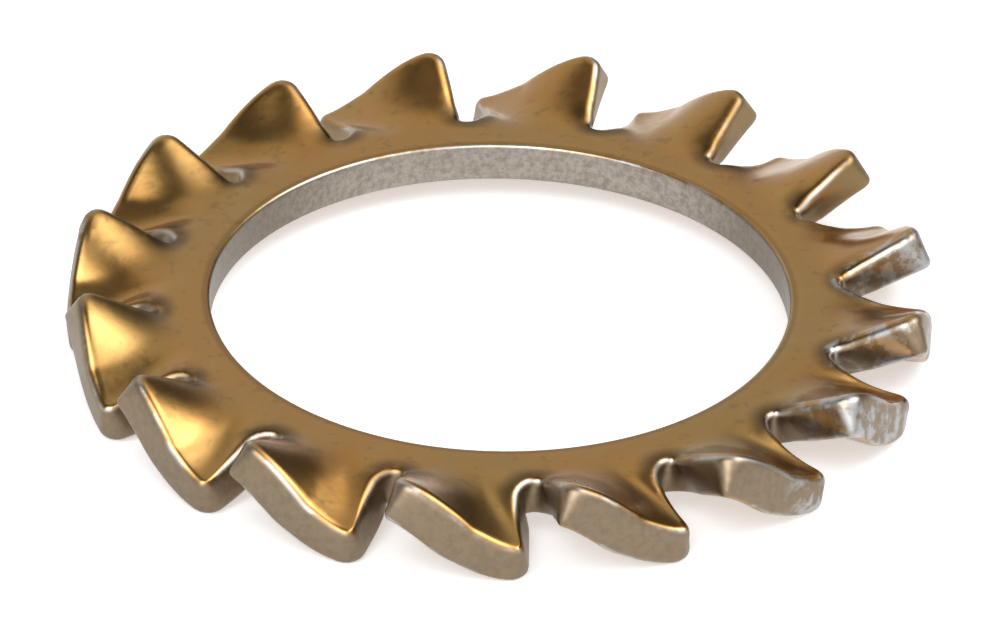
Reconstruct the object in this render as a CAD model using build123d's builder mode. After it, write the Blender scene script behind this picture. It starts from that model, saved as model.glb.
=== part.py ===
"""Toothed lock washer with external teeth: one stamped ring of sheet spring steel.

The blank is a flat ring cut by sixteen narrow slots. Each tooth between two slots is then
twisted: its clockwise edge, seen from above, is raised and its other edge is lowered, so
that the corners bite when a right-hand thread tries to loosen.

Millimetres. The origin is on the bore's axis, halfway through the sheet, +Z is the bore's
axis, and one tooth points along +X.
"""
import os
from math import cos, hypot, pi, radians, sin, tan

from build123d import *

os.makedirs("parts", exist_ok=True)

# ---------------------------------------------------------------- driving dimensions
bore_diameter = 13.2            # clears an M12 screw
outside_diameter = 20.0         # over the middle of the teeth
sheet_thickness = 0.95
bore_edge_break = 0.15          # eased rim where the punch enters, on the upper face
tooth_count = 16

ring_share = 0.34               # of the width from bore to outside that stays flat
bend_share = 0.16               # of a tooth's length that its rounded bend takes
twist = 31.0                    # degrees that a tooth's edges would be bent if it twisted evenly
raised_limit = 45.0             # degrees that the bend tends to on the raised side
lowered_limit = 29.0            # degrees that it tends to on the lowered side
lowered_corner_share = 0.28     # radius of the lowered corner, as a share of the tooth's length

slot_width = 0.4
slot_setback = 0.05             # of the slot bottoms, inward from where two bend lines meet
slot_lean = 11.0                # degrees that the cut edges lean with the twisted sheet

# ---------------------------------------------------------------- derived sizes
half_pitch = 180.0 / tooth_count                                   # degrees
half_sheet = sheet_thickness / 2
bore_radius = bore_diameter / 2
outside_radius = outside_diameter / 2
bend_line_distance = bore_radius + ring_share * (outside_radius - bore_radius)
reach = outside_radius - bend_line_distance                        # of a tooth from its bend line
bend_run = bend_share * reach
slot_root_radius = bend_line_distance / cos(radians(half_pitch)) - slot_setback
slot_end_centre = slot_root_radius + slot_width / 2
half_land = bend_line_distance * tan(radians(half_pitch))          # of the flat where a tooth starts
swing_angle = raised_limit + 10.0                                  # more than any corner swings
shoulder_reach = 0.6 * reach                                       # the swing's room narrows inside this
trim = outside_diameter                                            # longer than anything it cuts


def outward_slope(across):
    """Rise per millimetre outward of the twisted sheet, and its rate across the tooth.

    across is the distance from the tooth's middle, positive towards its raised edge.
    """
    limit = tan(radians(raised_limit if across > 0 else lowered_limit))
    rate = tan(radians(twist)) / half_land
    phase = max(-pi / 2, min(pi / 2, rate * across / limit))
    return limit * sin(phase), rate * cos(phase)


def face_height(across, station, side):
    """Height of the tooth's upper (side 1) or lower (side -1) face, station outward of the bend line."""
    if station < bend_run:
        lever, bend = station ** 2 / (2 * bend_run), station / bend_run
    else:
        lever, bend = station - bend_run / 2, 1.0
    slope, slope_rate = outward_slope(across)
    return slope * lever + side * half_sheet * hypot(1, slope * bend, slope_rate * lever)


def face_point(share, station, side):
    """Point of a tooth's section, seen from outside, at a share of its half width.

    The widest share, one, lies on the leaning middle plane of a slot.
    """
    middle_plane = share * half_land * (1 + station / bend_line_distance)
    across = middle_plane
    for _ in range(4):
        across = middle_plane - face_height(across, station, side) * tan(radians(slot_lean))
    return -across, face_height(across, station, side)


# ---------------------------------------------------------------- slot, the shape of the cutter
# One leaning slot with a round bottom, on +X. It is parallel to the sheet's own normal
# where the teeth stand twisted, which is how a cut made in the flat blank ends up.
slot_plane = Plane(origin=(0, 0, 0), x_dir=(1, 0, 0),
                   z_dir=(0, sin(radians(slot_lean)), cos(radians(slot_lean))))

with BuildPart() as slot:
    with BuildSketch(slot_plane):
        with Locations((slot_end_centre, 0)):
            Circle(slot_width / 2)
            Rectangle(trim, slot_width, align=(Align.MIN, Align.CENTER))
    extrude(amount=2 * reach, both=True)

# ---------------------------------------------------------------- one tooth, pointing along +X
# The blank is the room that a tooth's end swings in, between two slots. The lowered corner is
# rounded before the twisted sheet is cut to it, and the raised corner is left sharp to bite.
with BuildPart() as blank:
    with BuildSketch(Plane.YZ):
        with BuildLine():
            # the teeth keep their length, so their ends swing about the bend line
            swing = CenterArc((bend_line_distance, 0), reach, -swing_angle, 2 * swing_angle)
            shoulder = CenterArc((bend_line_distance, 0), shoulder_reach, -swing_angle,
                                 2 * swing_angle, mode=Mode.PRIVATE)
            Polyline(swing @ 1, shoulder @ 1, (0, (shoulder @ 1).Y),
                     (0, (shoulder @ 0).Y), shoulder @ 0, swing @ 0)
        make_face()
    revolve(axis=Axis.Z)
    with PolarLocations(0, 2, start_angle=-half_pitch, angular_range=2 * half_pitch, endpoint=True):
        add(slot.part, mode=Mode.SUBTRACT)
    tooth_end = blank.faces().filter_by(GeomType.TORUS).sort_by(SortBy.AREA)[0]
    corners = tooth_end.edges().filter_by(GeomType.CIRCLE, reverse=True).sort_by(Axis.Y)
    fillet(corners[-1], lowered_corner_share * reach)

# Sections of the twisted sheet follow each other outward: three through the rounded bend,
# and from its end one straight run of the sheet's fibres to past the tooth's end.
bend_stations = [0, bend_run / 2, bend_run]
run_stations = [bend_run, reach + half_sheet]
crossings = [-1.0, -0.5, 0.0, 0.5, 1.0]                             # shares of the half width

with BuildPart() as tooth:
    for stations, straight in ((bend_stations, False), (run_stations, True)):
        for station in stations:
            upper = [face_point(share, station, 1) for share in crossings]
            lower = [face_point(share, station, -1) for share in crossings]
            outward = bend_line_distance + station
            with BuildSketch(Plane(origin=(outward, 0, 0), x_dir=(0, 1, 0), z_dir=(1, 0, 0))):
                with BuildLine():
                    Spline(*upper)
                    Line(upper[-1], lower[-1])
                    Spline(*reversed(lower))
                    Line(lower[0], upper[0])
                make_face()
        loft(ruled=straight)
    add(blank.part, mode=Mode.INTERSECT)

# ---------------------------------------------------------------- the washer
with BuildPart() as lock_washer:
    with BuildSketch(Plane.XY.offset(-half_sheet)):
        RegularPolygon(bend_line_distance, tooth_count, major_radius=False, rotation=half_pitch)
        Circle(bore_radius, mode=Mode.SUBTRACT)
    extrude(amount=sheet_thickness)
    chamfer(lock_washer.edges().filter_by(GeomType.CIRCLE).sort_by(Axis.Z)[-1], bore_edge_break)
    with PolarLocations(0, tooth_count, start_angle=half_pitch):
        add(slot.part, mode=Mode.SUBTRACT)
    with PolarLocations(0, tooth_count):
        add(tooth.part)

lock_washer.part.label = "lock_washer"
export_step(lock_washer.part, "parts/lock_washer.step")
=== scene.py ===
from functools import cache
from math import atan, atan2, ceil, cos, exp, hypot, pi, radians, sin, sqrt, tan

import bpy
import bmesh
from mathutils import Matrix, Vector
from mathutils.geometry import delaunay_2d_cdt


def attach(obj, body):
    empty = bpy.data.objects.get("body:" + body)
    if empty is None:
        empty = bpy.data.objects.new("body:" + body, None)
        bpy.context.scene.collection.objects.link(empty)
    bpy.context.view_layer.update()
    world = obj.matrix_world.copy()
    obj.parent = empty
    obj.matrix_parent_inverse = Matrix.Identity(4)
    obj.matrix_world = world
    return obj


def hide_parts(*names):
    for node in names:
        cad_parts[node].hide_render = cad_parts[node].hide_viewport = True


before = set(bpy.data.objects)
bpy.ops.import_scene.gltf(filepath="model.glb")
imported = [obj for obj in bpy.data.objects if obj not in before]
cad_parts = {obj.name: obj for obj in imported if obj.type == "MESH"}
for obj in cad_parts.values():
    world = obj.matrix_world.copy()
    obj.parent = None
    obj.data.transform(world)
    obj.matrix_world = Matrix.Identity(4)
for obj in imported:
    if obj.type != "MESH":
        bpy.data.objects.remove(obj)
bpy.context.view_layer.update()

# ---------------------------------------------------------------- the washer's flat blank
# The real washer starts as sheet spring steel. A press punches the bore, the slots and the rim
# in one stroke, which rolls each upper edge over and breaks each lower edge a little. One
# tooth's share of that blank is laid out here, flat and in millimetres.
mm = 0.001
tooth_count = 16
half_pitch = pi / tooth_count
bore_radius = 6.66
rim_radius = 9.927
half_sheet = 0.471
bend_line = 7.213                       # from the bore's axis to where a tooth leaves the ring
slot_half_width = 0.275
slot_root = 7.940                       # from the bore's axis to a slot's bottom
raised_corner, lowered_corner = 0.33, 0.36      # radii of a tooth's two outer corners
upper_roll, lower_roll = 0.20, 0.17     # radii that the press leaves on a tooth's edges
bore_roll = 0.09                        # and on both edges of the bore

fine_step, coarse_step = 0.11, 0.22     # between the mesh's points, on a tooth and on the ring
slot_pieces, corner_pieces, bore_pieces, seam_pieces = 6, 5, 14, 7
bore_centre = Vector((0, 0))


def round_off(depth, radius):
    """How far an edge of that radius falls, at a depth in from the cut."""
    short = max(radius - depth, 0.0)
    return radius - sqrt(radius * radius - short * short)


def arc(centre, radius, start, end, count, side=1):
    """Points along an arc, each with the way into the sheet: side 1 is away from the centre."""
    ways = [Vector((cos(a), sin(a))) for a in
            (start + (end - start) * i / count for i in range(count + 1))]
    return [(centre + radius * way, side * way) for way in ways]


def slot_side(sign, corner):
    """One side of a tooth, from the slot's bottom over the outer corner to the rim.

    sign is -1 for the raised side, towards -Y, and 1 for the lowered side.
    """
    heading = sign * half_pitch
    along = Vector((cos(heading), sin(heading)))
    inward = Vector((-sin(heading), cos(heading))) * -sign
    root_centre = along * (slot_root + slot_half_width)
    corner_offset = slot_half_width + corner
    corner_reach = sqrt((rim_radius - corner) ** 2 - corner_offset ** 2)
    corner_centre = along * corner_reach + inward * corner_offset
    to_side = heading + sign * pi / 2
    to_rim = atan2(corner_centre.y, corner_centre.x)
    bottom = arc(root_centre, slot_half_width, heading - sign * pi, heading - sign * pi / 2,
                 slot_pieces)
    top = arc(corner_centre, corner, to_side, to_rim, corner_pieces, side=-1)
    first, last = bottom[-1][0], top[0][0]
    count = round((last - first).length / fine_step)
    straight = [(first.lerp(last, i / count), inward) for i in range(1, count)]
    return bottom + straight + top


raised_side, lowered_side = slot_side(-1, raised_corner), slot_side(1, lowered_corner)
rim_from, rim_to = (atan2(side[-1][0].y, side[-1][0].x) for side in (raised_side, lowered_side))
rim_pieces = round((rim_to - rim_from) * rim_radius / fine_step)
rim = arc(bore_centre, rim_radius, rim_from, rim_to, rim_pieces, side=-1)
tooth_cut = raised_side + rim[1:-1] + list(reversed(lowered_side))
bore_cut = arc(bore_centre, bore_radius, half_pitch, -half_pitch, bore_pieces)


def roll_steps(radius):
    """Depths in from a cut at which its rolled edge has its rows of vertices."""
    return [radius * (1 - cos(radians(angle))) for angle in (0, 22.5, 45, 67.5, 90)]


def inset_of(p):
    """Depth of p in from the nearest cut."""
    cut, way = min(tooth_cut, key=lambda c: (p - c[0]).length_squared)
    return min((p - cut).dot(way), p.length - bore_radius)


# the inner edge of both rolled strips, joined along the two radii that the next sectors share
seam_start = bore_radius + bore_roll
seam_reach = slot_root - upper_roll - bore_radius - bore_roll
seam = [seam_start + seam_reach * i / seam_pieces for i in range(1, seam_pieces)]
loop = [cut + way * upper_roll for cut, way in tooth_cut]
loop += [Vector((cos(half_pitch), sin(half_pitch))) * r for r in reversed(seam)]
loop += [cut + way * bore_roll for cut, way in bore_cut]
loop += [Vector((cos(half_pitch), -sin(half_pitch))) * r for r in seam]

# inside it, staggered rows of points, which keep clear of the seams and of the rolled strips
fine_from = bend_line - 0.2
stagger, clear_of_seam, clear_of_roll = 0.25, 0.4, 0.5          # shares of a step
inner = []
station = seam_start
while station < rim_radius:
    step = fine_step if station > fine_from else coarse_step
    station += step
    count = ceil(station * tan(half_pitch) / step)
    for i in range(-count, count + 1):
        p = Vector((station, step * (i + stagger * (-1) ** round(station / step))))
        from_seam = (station * tan(half_pitch) - abs(p.y)) * cos(half_pitch)
        if from_seam > clear_of_seam * step and inset_of(p) > upper_roll + clear_of_roll * step:
            inner.append(p)
loop_edges = [(i, (i + 1) % len(loop)) for i in range(len(loop))]
only_inside, same_point = 1, 1e-5
flat_points, _, flat_faces, *_ = delaunay_2d_cdt(loop + inner, loop_edges, [],
                                                 only_inside, same_point)

# ---------------------------------------------------------------- the tooth's twist
# A second press bends each tooth out of the ring, up on its clockwise side, seen from above,
# and down on the other. Its rise per millimetre outward is a share that depends on the place
# across the tooth, times a swell that peaks nearer the ring on the lowered side.
tilt_across = (-0.006, 0.690, 0.044, -0.046, 0.065)     # rising powers of the place across
tilt_half_width = 1.49
raised_peak, raised_sharpness = 1.23, 2.67      # of the swell, outward from the bend line
lowered_peak, lowered_sharpness = 0.65, 1.93
side_blend = 0.34                       # half width of the strip where the two sides meet
bend_skew, bend_bow = -0.126, 0.206     # of the bend line, against the place across
across_kept, outward_kept = 0.42, -0.05         # shares in which the sheet keeps its lengths
wall_lean = 1.39                        # of the cut walls across the tooth, over the sheet's own
root_sharpness, root_fade = 6, 0.5      # of the pull that keeps the slots' bottoms flat


def swell(reach, peak, sharpness):
    """A rise from nothing to one at the peak, and a slow fall beyond it."""
    return (reach / peak * exp(1 - reach / peak)) ** sharpness


def fibre(reach, across, slices=12):
    """How far out and up a fibre of the sheet ends, from its length past the bend line."""
    side = min(max((across / side_blend + 1) / 2, 0.0), 1.0)
    side = side * side * (3 - 2 * side)
    tilt = sum(share * (across / tilt_half_width) ** power
               for power, share in enumerate(tilt_across))
    out = up = 0.0
    for i in range(slices):
        at = (i + 0.5) * reach / slices
        lean = atan(tilt * (side * swell(at, raised_peak, raised_sharpness)
                            + (1 - side) * swell(at, lowered_peak, lowered_sharpness)))
        out, up = out + cos(lean) * reach / slices, up + sin(lean) * reach / slices
    return reach + (out - reach) * outward_kept, up


def middle_at(out, across, strips=5):
    """Where the sheet's middle goes from its place in the flat blank, the raised side as +Y."""
    edge = abs(across) / (slot_root * sin(half_pitch))
    line = bend_line + bend_skew * across + bend_bow * across * across
    near_root = (min(1.0, edge ** root_sharpness)
                 * min(1.0, max(0.0, 1.0 - (out - slot_root) / root_fade)))
    line += max(0.0, slot_root * cos(half_pitch) - line) * near_root
    reach = max(0.0, out - line)
    if reach == 0 or across == 0:
        return Vector((out, across, 0.0))
    new_out, up = fibre(reach, across)
    heights = [fibre(reach, across * i / strips)[1] for i in range(strips + 1)]
    narrowed = sum(across / strips / hypot(1.0, (b - a) * strips / across)
                   for a, b in zip(heights, heights[1:]))
    return Vector((out - reach + new_out, across + (narrowed - across) * across_kept, up))


@cache
def bent(x, y, step=0.01):
    """The bent sheet's middle and upright at a place of the blank, the raised side as -Y."""
    along = middle_at(x + step, -y) - middle_at(x - step, -y)
    over = middle_at(x, -y + step) - middle_at(x, -y - step)
    middle, upright = middle_at(x, -y), along.cross(over).normalized()
    return (Vector((middle.x, -middle.y, middle.z)),
            Vector((upright.x, -upright.y * wall_lean, upright.z)))


blank = bmesh.new()
inset = blank.verts.layers.float.new("inset")           # depth in from the nearest cut
cut_share = blank.verts.layers.float.new("cut")         # 1 on a cut wall, 0 on a face
made = {}


def point(p, height, depth, cut=0.0):
    """The twisted sheet's vertex for a place in the blank, shared by the faces there."""
    key = (round(p.x, 5), round(p.y, 5), round(height, 5))
    if key not in made:
        middle, upright = bent(*key[:2])
        made[key] = blank.verts.new((middle + upright * height) * mm)
        made[key][inset], made[key][cut_share] = depth, cut
    return made[key]


# both faces with their rolled edges
for side, tooth_roll in ((1, upper_roll), (-1, lower_roll)):
    for corners in flat_faces:
        blank.faces.new([point(flat_points[c], side * half_sheet,
                               max(upper_roll, inset_of(flat_points[c]))) for c in corners])
    for cuts, widest, roll in ((tooth_cut, upper_roll, tooth_roll),
                               (bore_cut, bore_roll, bore_roll)):
        steps = roll_steps(widest)
        for here, there in zip(cuts, cuts[1:]):
            for depth, deeper in zip(steps, steps[1:]):
                blank.faces.new([point(cut + way * d, side * (half_sheet - round_off(d, roll)), d,
                                       max(0.0, 1 - d / roll))
                                 for (cut, way), d in ((here, depth), (there, depth),
                                                       (there, deeper), (here, deeper))])

# the cut walls between them, each in three bands
half_band = 0.09
for cuts, top_roll, foot_roll in ((tooth_cut, upper_roll, lower_roll),
                                  (bore_cut, bore_roll, bore_roll)):
    levels = [half_sheet - top_roll, half_band, -half_band, foot_roll - half_sheet]
    for (here, _), (there, _) in zip(cuts, cuts[1:]):
        for high, low in zip(levels, levels[1:]):
            blank.faces.new([point(here, high, 0, 1), point(there, high, 0, 1),
                             point(there, low, 0, 1), point(here, low, 0, 1)])
bmesh.ops.recalc_face_normals(blank, faces=blank.faces)
washer_mesh = bpy.data.meshes.new("dressed_washer")
blank.to_mesh(washer_mesh)
blank.free()
washer = bpy.data.objects.new("dressed_washer", washer_mesh)
bpy.context.scene.collection.objects.link(washer)


# ---------------------------------------------------------------- the teeth, set round
# The real ring holds sixteen teeth, all twisted alike by one stroke of the second press. Here
# the one tooth's sector is set round the bore's axis, and its seams are welded.
class Wire:
    """An output socket of a node tree. The operators add Math nodes to that tree."""

    def __init__(self, tree, socket):
        self.tree, self.socket = tree, socket

    def node(self, kind, settings=(), out=0, **values):
        """Any other node of the tree: its type, its settings, and its sockets' values or links.

        A socket is named with spaces as underscores, or by number as s0, s1 and so on.
        """
        made = self.tree.nodes.new(kind)
        for name, value in dict(settings).items():
            setattr(made, name, value)
        for name, value in values.items():
            if name[0] == "s" and name[1:].isdigit():
                socket = made.inputs[int(name[1:])]
            else:
                socket = made.inputs[name.replace("_", " ")]
            if isinstance(value, Wire):
                self.tree.links.new(value.socket, socket)
            else:
                socket.default_value = value
        return Wire(self.tree, made.outputs[out])

    def math(self, operation, *others):
        values = {f"s{i}": value for i, value in enumerate((self, *others))}
        return self.node("ShaderNodeMath", {"operation": operation}, **values)

    def __add__(self, other):
        return self.math("ADD", other)

    __radd__ = __add__

    def __sub__(self, other):
        return self.math("SUBTRACT", other)

    def __rsub__(self, other):
        return self.node("ShaderNodeMath", {"operation": "SUBTRACT"}, s0=other, s1=self)

    def __mul__(self, other):
        return self.math("MULTIPLY", other)

    __rmul__ = __mul__

    def __truediv__(self, other):
        return self.math("DIVIDE", other)

    def __rtruediv__(self, other):
        return self.node("ShaderNodeMath", {"operation": "DIVIDE"}, s0=other, s1=self)

    def __pow__(self, other):
        return self.math("POWER", other)

    def least(self, other):
        return self.math("MINIMUM", other)

    def most(self, other):
        return self.math("MAXIMUM", other)

    def parts(self):
        """x, y and z of a vector."""
        split = self.node("ShaderNodeSeparateXYZ", s0=self)
        return [Wire(self.tree, s) for s in split.socket.node.outputs[:3]]

    def vector(self, x, y, z):
        return self.node("ShaderNodeCombineXYZ", s0=x, s1=y, s2=z)

    def ramp(self, low, high):
        """Smooth step from 0 at low to 1 at high."""
        return self.node("ShaderNodeMapRange", {"interpolation_type": "SMOOTHSTEP"}, Value=self,
                         From_Min=low, From_Max=high, To_Min=0.0, To_Max=1.0)


def geometry_tree(name, **inputs):
    """An empty modifier tree with named inputs. Returns it, its geometry and its inputs."""
    tree = bpy.data.node_groups.new(name, "GeometryNodeTree")
    for way in ("OUTPUT", "INPUT"):
        tree.interface.new_socket("Geometry", in_out=way, socket_type="NodeSocketGeometry")
    for label, value in inputs.items():
        kind = "NodeSocketInt" if isinstance(value, int) else "NodeSocketFloat"
        made = tree.interface.new_socket(label.replace("_", " "), in_out="INPUT",
                                         socket_type=kind)
        made.default_value = value
    source = tree.nodes.new("NodeGroupInput")
    wires = [Wire(tree, s) for s in source.outputs[:1 + len(inputs)]]
    return tree, wires[0], wires[1:]


def finish_tree(tree, geometry, material):
    """Ends a tree in Realize Instances and Set Material."""
    solid = geometry.node("GeometryNodeRealizeInstances", Geometry=geometry)
    painted = solid.node("GeometryNodeSetMaterial", Geometry=solid, Material=material)
    tree.links.new(painted.socket, tree.nodes.new("NodeGroupOutput").inputs[0])


def run_tree(piece, tree, **inputs):
    """Adds the tree to a piece as a modifier, with inputs set by their sockets' identifiers."""
    modifier = piece.modifiers.new(tree.name, "NODES")
    modifier.node_group = tree
    identifiers = {s.name: s.identifier for s in tree.interface.items_tree
                   if s.in_out == "INPUT"}
    for label, value in inputs.items():
        modifier[identifiers[label.replace("_", " ")]] = value


steel = bpy.data.materials.new("yellow_passivated_steel_dressed")
weld_distance = 0.002 * mm

ring_tree, sector, (teeth, weld) = geometry_tree("set_sectors_round", Teeth=tooth_count,
                                                 Weld_Distance=weld_distance)
index = sector.node("GeometryNodeInputIndex")
spots = sector.node("GeometryNodePoints", Count=teeth)
turned = sector.vector(0.0, 0.0, index * (2 * pi) / teeth)
copies = sector.node("GeometryNodeInstanceOnPoints", Points=spots, Instance=sector,
                     Rotation=turned)
whole = sector.node("GeometryNodeRealizeInstances", Geometry=copies)
closed = sector.node("GeometryNodeMergeByDistance", Geometry=whole, Distance=weld)
smooth = sector.node("GeometryNodeSetShadeSmooth", Geometry=closed, Shade_Smooth=True)
finish_tree(ring_tree, smooth, steel)

run_tree(washer, ring_tree, Teeth=tooth_count, Weld_Distance=weld_distance)
graph = bpy.context.evaluated_depsgraph_get()
finished = bpy.data.meshes.new_from_object(washer.evaluated_get(graph), depsgraph=graph)
washer.modifiers.clear()
washer.data = finished
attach(washer, "root")
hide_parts("lock_washer")

# ---------------------------------------------------------------- the steel's finish
# Zinc-plated spring steel with a yellow chromate film: smooth and golden brown on the sheet's
# faces, grey and rough where the press cut it, and rubbed to bare zinc where parts knock.
steel.use_nodes = True
paint = steel.node_tree
paint.nodes.clear()
start = Wire(paint, None)
place = start.node("ShaderNodeTexCoord", out=3)
cut_wall = start.node("ShaderNodeAttribute", {"attribute_name": "cut"}, out=2)
from_cut = start.node("ShaderNodeAttribute", {"attribute_name": "inset"}, out=2)
px, py, _ = place.parts()
from_axis = (px * px + py * py) ** 0.5


def noise(scale, detail=3.0, rough=0.55):
    """A three-dimensional noise over the metal, its scale in lumps per metre."""
    return start.node("ShaderNodeTexNoise", Vector=place, Scale=scale, Detail=detail,
                      Roughness=rough)


def mixed(share, under, over):
    """One colour over another, by a share."""
    return start.node("ShaderNodeMix", {"data_type": "RGBA"}, out=2, s0=share, s6=under, s7=over)


# the film on the faces: cloudy, mottled and finely specked
golden_brown, yellow_brown = (0.363, 0.189, 0.056, 1), (0.333, 0.196, 0.064, 1)
red_brown, pale_yellow = (0.323, 0.154, 0.044, 1), (0.343, 0.225, 0.078, 1)
dark_speck = (0.206, 0.122, 0.044, 1)
clouds, mottle = noise(240.0), noise(1100.0, 4.0)
specks, grain = noise(3200.0, 2.0), noise(14000.0, 1.0)
film = mixed(clouds.ramp(0.38, 0.62), golden_brown, yellow_brown)
film = mixed(mottle.ramp(0.52, 0.78) * 0.55, film, red_brown)
film = mixed(mottle.ramp(0.48, 0.22) * 0.5, film, pale_yellow)
film = mixed(specks.ramp(0.56, 0.76) * 0.5, film, dark_speck)

# the cut walls, where the film is thin and browner towards +Y
wall_grey, wall_dark = (0.246, 0.186, 0.123, 1), (0.21, 0.159, 0.105, 1)
wall_brown = (0.252, 0.162, 0.069, 1)
shear_lines = noise(5200.0, 3.0, 0.6)
wall = mixed(shear_lines.ramp(0.35, 0.7), wall_grey, wall_dark)
wall = mixed(py.ramp(4.2 * mm, 5.2 * mm) * 0.8, wall, wall_brown)

# the bore's wall, which is nearly bare, with painted shade towards +X and -X, where it mirrors
# the shaded table inside the bore
bore_pale, bore_dark = (0.36, 0.318, 0.27, 1), (0.24, 0.204, 0.168, 1)
bore_side_shade = (0.126, 0.099, 0.069, 1)
in_bore = from_axis.ramp((bore_radius + 0.2) * mm, (bore_radius + 0.1) * mm)
bore_grey = mixed(noise(6500.0, 5.0, 0.7).ramp(0.36, 0.66), bore_pale, bore_dark)
# painted shade on the bore's wall, darkest towards +X and -X
bore_grey = mixed((px * px).ramp(9.0 * mm * mm, 36.0 * mm * mm) * 0.7, bore_grey, bore_side_shade)
wall = mixed(in_bore, wall, bore_grey)
colour = mixed(cut_wall.ramp(0.45, 0.9), film, wall)

# grime and painted shade round the slots' bottoms, where the teeth fold out of the ring, and a
# painted dark reflection along the punched edges of the bore
grime_and_shade = (0.064, 0.042, 0.02, 1)
blotches = noise(900.0, 3.0).ramp(0.30, 0.50)
# painted shade in the creases round the slots' bottoms, with some grime, broken into blotches
grime_and_shade_at_slot_roots = (from_axis.ramp(7.15 * mm, 7.6 * mm) * from_axis.ramp(8.6 * mm, 8.1 * mm)
                  * from_cut.ramp(0.62, 0.15) * cut_wall.ramp(0.9, 0.2))
# a painted dark reflection in a thin line along the bore's rim
painted_rim_shade = (from_axis.ramp((bore_radius + 0.24) * mm, (bore_radius + 0.13) * mm)
             * cut_wall.ramp(0.3, 0.0))
colour = mixed(grime_and_shade_at_slot_roots * blotches * 0.8 + painted_rim_shade * 0.3, colour, grime_and_shade)

# edges rubbed to zinc in broken lines, and on the bore mostly towards +Y
zinc = (0.46, 0.455, 0.44, 1)
rub = noise(900.0, 4.0).ramp(0.45, 0.56)
edge_rub = from_cut.ramp(0.13, 0.04) * cut_wall.ramp(0.97, 0.7) * rub
edge_rub = edge_rub * (1.0 - in_bore * py.ramp(5.0 * mm, 3.0 * mm) * 0.8)
colour = mixed(edge_rub * 0.75, colour, zinc)

# knocks have worn the film through to bluish zinc along the edges of a few neighbouring teeth
bluish_zinc = (0.41, 0.43, 0.44, 1)
worn = (px.ramp(7.0 * mm, 7.6 * mm) * py.ramp(4.8 * mm, 4.2 * mm) * from_cut.ramp(0.34, 0.16)
        * noise(1500.0, 5.0, 0.65).ramp(0.47, 0.60))
colour = mixed(worn * 0.75, colour, bluish_zinc)

roughness = 0.19 + mottle * 0.06 + grain * 0.05 + cut_wall.ramp(0.3, 0.9) * 0.17 - worn * 0.04
fine = start.node("ShaderNodeBump", Height=grain * 0.6 + specks * 0.4, Strength=0.10,
                  Distance=0.01 * mm)
dent_height = noise(1200.0, 2.0) + noise(380.0, 1.0) * 2.0
dents = start.node("ShaderNodeBump", Height=dent_height, Strength=0.35, Distance=0.03 * mm,
                   Normal=fine)
shader = start.node("ShaderNodeBsdfPrincipled", Base_Color=colour, Metallic=1.0,
                    Roughness=roughness, Normal=dents)
paint.links.new(shader.socket, paint.nodes.new("ShaderNodeOutputMaterial").inputs[0])

# ---------------------------------------------------------------- the table and the light tent
# The washer lies on a white table top in a tent of pale cloth. Soft boxes hang in front and to
# the right, between black cloths, which give the shiny film its bright and dark places.
floor_height = min(v.co.z for v in finished.vertices)
table_reach = 2.0
floor_mesh = bpy.data.meshes.new("table_top")
floor_mesh.from_pydata([(x * table_reach, y * table_reach, floor_height)
                        for x, y in ((-1, -1), (1, -1), (1, 1), (-1, 1))], [], [(0, 1, 2, 3)])
floor = bpy.data.objects.new("table_top", floor_mesh)
bpy.context.scene.collection.objects.link(floor)


def rays(start, *kinds):
    """A mask of the rays of these kinds, by Light Path's own names for them."""
    outputs = start.node("ShaderNodeLightPath").socket.node.outputs
    return sum(Wire(start.tree, outputs[f"Is {kind} Ray"]) for kind in kinds).least(1.0)


pure_white = (1, 1, 1, 1)
table_white = (0.86, 0.88, 0.91, 1)
white = bpy.data.materials.new("white_table")
white.use_nodes = True
white.node_tree.nodes.clear()
start = Wire(white.node_tree, None)
dull = start.node("ShaderNodeBsdfDiffuse", Color=table_white)
glow = start.node("ShaderNodeEmission", Color=pure_white,
                  Strength=rays(start, "Camera", "Glossy", "Transmission") * 0.5)
both = start.node("ShaderNodeAddShader", s0=dull, s1=glow)
ending = white.node_tree.nodes.new("ShaderNodeOutputMaterial")
white.node_tree.links.new(both.socket, ending.inputs[0])
floor_mesh.materials.append(white)

# the tent and the camera stand turned about the bore's axis by the same angle
azimuth = radians(5.18)
world = bpy.data.worlds.new("light_tent")
bpy.context.scene.world = world
world.use_nodes = True
world.node_tree.nodes.clear()
start = Wire(world.node_tree, None)
wx, wy, up = start.node("ShaderNodeTexCoord", out=0).parts()
right = wx * cos(azimuth) + wy * sin(azimuth)
far = wy * cos(azimuth) - wx * sin(azimuth)
tent_wall, darkest = 0.49, 0.05         # the tent's strength, as the table sees it

# soft boxes, and black cloths where the strength is below nothing: the way there (right, far,
# up), the strength and the narrowness
level = tent_wall
for (to_right, to_far, to_up), strength, narrowness in (
        ((0.59, -0.05, 0.81), 2.41, 23.4),
        ((-0.34, -0.41, 0.85), 2.55, 19.0),
        ((-0.17, -0.79, 0.59), 0.85, 6.9),
        ((0.66, 0.19, 0.73), 2.23, 27.0),
        ((0.75, 0.65, 0.09), -0.92, 6.4),
        ((-0.14, -0.49, 0.86), 2.01, 16.8),
        ((-0.02, -0.15, 0.99), -1.39, 20.0),
        ((-0.59, -0.12, 0.80), -1.22, 11.7)):
    towards = right * to_right + far * to_far + up * to_up
    level = level + ((towards - 1.0) * narrowness).math("EXPONENT") * strength
level = level.most(darkest)

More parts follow.
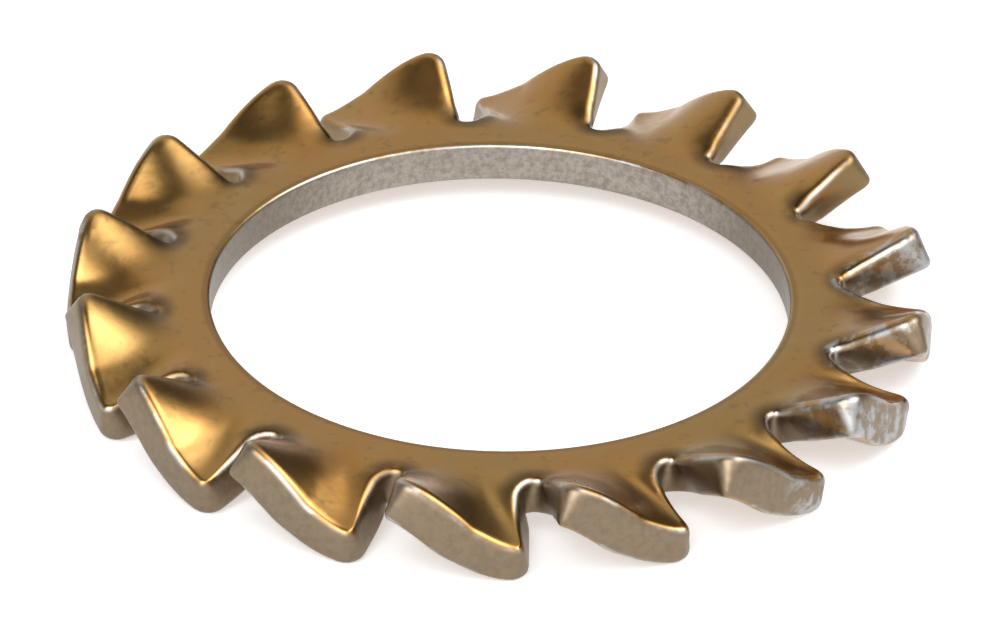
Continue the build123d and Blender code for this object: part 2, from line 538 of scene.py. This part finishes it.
# the steel mirrors the tent's wall as white as the backdrop behind the table
mirrored = rays(start, "Glossy", "Transmission")
level = level * (1.0 + mirrored * (1.0 / tent_wall - 1.0))
backdrop = start.node("ShaderNodeBackground", Color=pure_white, Strength=1.0)
tent_light = start.node("ShaderNodeBackground", Color=pure_white, Strength=level)
sky = start.node("ShaderNodeMixShader", s0=rays(start, "Camera"), s1=tent_light, s2=backdrop)
ending = world.node_tree.nodes.new("ShaderNodeOutputWorld")
world.node_tree.links.new(sky.socket, ending.inputs[0])

# ---------------------------------------------------------------- the camera
# A long lens on a stand in front of the table, which looks down at the washer. It is tipped
# a little about its own axis.
elevation, roll_angle = radians(31.57), radians(0.98)
distance = 256.8                        # to the ring's upper face, in millimetres
focal = 43.544 * distance               # in pixels, of which 43.544 show one millimetre there
width, height = 1000.0, 643.0
image_x, image_y = 499.90, 294.26       # where the middle of the ring's upper face appears
sensor_width = 36.0
ahead = Vector((0, cos(elevation), -sin(elevation)))
right_way, down_way = Vector((1, 0, 0)), Vector((0, -sin(elevation), -cos(elevation)))
turned_right = right_way * cos(roll_angle) - down_way * sin(roll_angle)
turned_down = right_way * sin(roll_angle) + down_way * cos(roll_angle)
basis = Matrix((turned_right, turned_down, ahead))
aim = Vector(((image_x - width / 2) / focal, (image_y - height / 2) / focal, 1.0)).normalized()
basis = Vector((0, 0, 1)).rotation_difference(aim).to_matrix() @ basis
to_part = Matrix.Rotation(azimuth, 3, "Z")
axes = [to_part @ Vector(row) for row in basis]
spin = Matrix((axes[0], -axes[1], -axes[2])).transposed()
stand = to_part @ (-ahead * (distance * mm)) + Vector((0, 0, half_sheet * mm))
camera = bpy.data.objects.new("camera", bpy.data.cameras.new("camera"))
bpy.context.scene.collection.objects.link(camera)
camera.matrix_world = Matrix.Translation(stand) @ spin.to_4x4()
camera.data.sensor_width = sensor_width
camera.data.lens = sensor_width * focal / width
camera.data.clip_start, camera.data.clip_end = 0.01, 20.0
bpy.context.scene.camera = camera
bpy.context.scene.view_settings.view_transform = "Standard"
